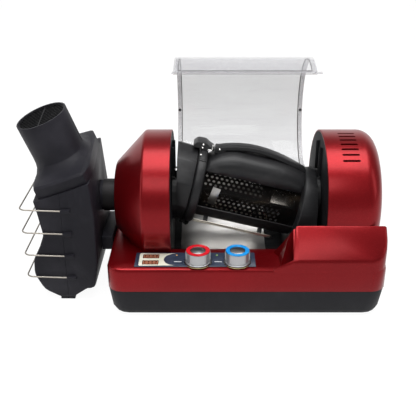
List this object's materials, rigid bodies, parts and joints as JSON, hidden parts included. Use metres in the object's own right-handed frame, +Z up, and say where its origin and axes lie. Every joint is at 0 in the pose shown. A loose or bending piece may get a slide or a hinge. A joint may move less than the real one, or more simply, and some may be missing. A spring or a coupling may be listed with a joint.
{
  "type": "home coffee bean roaster",
  "caption": "Countertop coffee bean roaster: a tilted glass drum turns between round housings on a low base, under a hinged clear lid, with press-and-turn knobs and a side chaff collector.",
  "frame": {"origin": "on the table, under the middle of the base; the tray's flat underside, which the claim names, lies 2.5 mm above it because the tray stands on rubber feet", "axes": "+X to the right as seen from the controls, along the drum's turning axis; +Y to the back; +Z up"},
  "size_m": [0.512, 0.2904, 0.3205],
  "materials": {
    "red_paint": "metallic red paint over a moulding",
    "dark_plastic": "dark grey, fine grained",
    "black_plastic": "black, fine grained",
    "black_coating": "black, satin, heat resistant",
    "rubber": "black",
    "steel": "plain",
    "polished_steel": "polished",
    "brass": "plain",
    "drum_glass": "clear heatproof glass",
    "clear_plastic": "clear moulding",
    "panel_film": "dark overlay",
    "display_glass": "pale display",
    "red_trim": "red",
    "blue_trim": "blue",
    "circuit_board": "green board",
    "insulating_card": "pale insulating card"
  },
  "bodies": {
    "base": {"base_tray": "dark_plastic", "foot_front_left": "rubber", "foot_rear_left": "rubber", "foot_front_right": "rubber", "foot_rear_right": "rubber", "power_inlet": "black_plastic", "upper_casing": "red_paint", "control_board": "circuit_board", "power_board": "circuit_board", "left_housing": "red_paint", "right_housing": "red_paint", "left_inner_plate": "black_plastic", "right_inner_plate": "black_plastic", "bay_liner": "black_plastic", "reflector_tray": "polished_steel", "rear_cover": "black_plastic", "idle_bearing": "brass", "drive_bearing": "brass", "drive_motor": "steel", "hot_air_duct": "steel", "heater_element": "insulating_card", "blower_motor": "steel", "exhaust_duct": "steel", "lid_pin_left": "steel", "lid_pin_right": "steel", "control_panel": "panel_film", "display_window": "display_glass"},
    "motor_pinion": {"motor_pinion": "brass"},
    "drive_carrier": {"drive_carrier": "black_coating", "drive_gear": "steel"},
    "idle_carrier": {"idle_carrier": "black_coating"},
    "blower_fan": {"blower_fan": "black_plastic"},
    "roasting_chamber": {"chamber_cap": "black_coating", "cap_collar": "black_coating", "end_collar": "black_coating", "glass_drum": "drum_glass", "chamber_saddle": "black_coating", "drum_baffle": "steel", "chamber_handle": "black_coating"},
    "latch_lever": {"latch_lever": "black_coating"},
    "lid": {"lid_panel": "clear_plastic", "lid_frame_left": "clear_plastic", "lid_frame_right": "clear_plastic", "lid_edge_rail": "steel"},
    "temperature_spindle": {"temperature_spindle": "brass"},
    "temperature_knob": {"temperature_knob": "polished_steel", "temperature_ring": "red_trim"},
    "time_spindle": {"time_spindle": "brass"},
    "time_knob": {"time_knob": "polished_steel", "time_ring": "blue_trim"},
    "chaff_collector": {"collector_body": "black_plastic", "collector_front": "black_plastic", "collector_spigot": "black_plastic", "guard_wire_1": "steel", "guard_wire_2": "steel", "guard_wire_3": "steel", "guard_wire_4": "steel", "docking_bracket": "black_plastic"},
    "collector_lid": {"collector_lid": "black_plastic", "outlet_grille": "black_plastic"}
  },
  "joints": [
    {"name": "motor_shaft", "type": "hinge", "parent": "base", "child": "motor_pinion", "pos_m": [0.1247, 0.0416, 0.09866], "axis": [-1, 0, 0], "continuous": true},
    {"name": "drum_drive", "type": "hinge", "parent": "base", "child": "drive_carrier", "pos_m": [0.1153, 0.015, 0.1327], "axis": [1, 0, 0], "continuous": true},
    {"name": "idle_turn", "type": "hinge", "parent": "base", "child": "idle_carrier", "pos_m": [-0.1115, 0.015, 0.1327], "axis": [1, 0, 0], "continuous": true},
    {"name": "fan_spin", "type": "hinge", "parent": "base", "child": "blower_fan", "pos_m": [0.165, 0.015, 0.1327], "axis": [1, 0, 0], "continuous": true},
    {"name": "chamber_lift", "type": "slide", "parent": "drive_carrier", "child": "roasting_chamber", "axis": [0, 0, -1], "range_m": [-0.095, 0]},
    {"name": "latch_press", "type": "hinge", "parent": "roasting_chamber", "child": "latch_lever", "pos_m": [-0.05904, 0.015, 0.20615], "axis": [0, 1, 0], "range_deg": [0, 8], "stiffness_Nm_per_rad": 0.05, "springref_deg": -11.46},
    {"name": "lid_hinge", "type": "hinge", "parent": "base", "child": "lid", "pos_m": [0, 0.10316, 0.14041], "axis": [1, 0, 0], "range_deg": [0, 81.5]},
    {"name": "temperature_turn", "type": "hinge", "parent": "base", "child": "temperature_spindle", "pos_m": [-0.067, -0.0953, 0.0825], "axis": [0, 0, 1], "continuous": true},
    {"name": "temperature_press", "type": "slide", "parent": "temperature_spindle", "child": "temperature_knob", "axis": [0, 0, -1], "range_m": [0, 0.0012], "stiffness_N_per_m": 2000, "springref_m": -0.001},
    {"name": "time_turn", "type": "hinge", "parent": "base", "child": "time_spindle", "pos_m": [-0.013, -0.0953, 0.0825], "axis": [0, 0, 1], "continuous": true},
    {"name": "time_press", "type": "slide", "parent": "time_spindle", "child": "time_knob", "axis": [0, 0, -1], "range_m": [0, 0.0012], "stiffness_N_per_m": 2000, "springref_m": -0.001},
    {"name": "collector_slide", "type": "slide", "parent": "base", "child": "chaff_collector", "axis": [-1, 0, 0], "range_m": [0, 0.06]},
    {"name": "collector_lid_hinge", "type": "hinge", "parent": "chaff_collector", "child": "collector_lid", "pos_m": [-0.25982, 0.07554, 0.18763], "axis": [-0.9455, 0, -0.3256], "range_deg": [0, 75]}
  ],
  "couplings": [
    {"joint": "drum_drive", "follows": "motor_shaft", "ratio": 0.33333},
    {"joint": "idle_turn", "follows": "motor_shaft", "ratio": 0.33333}
  ]
}
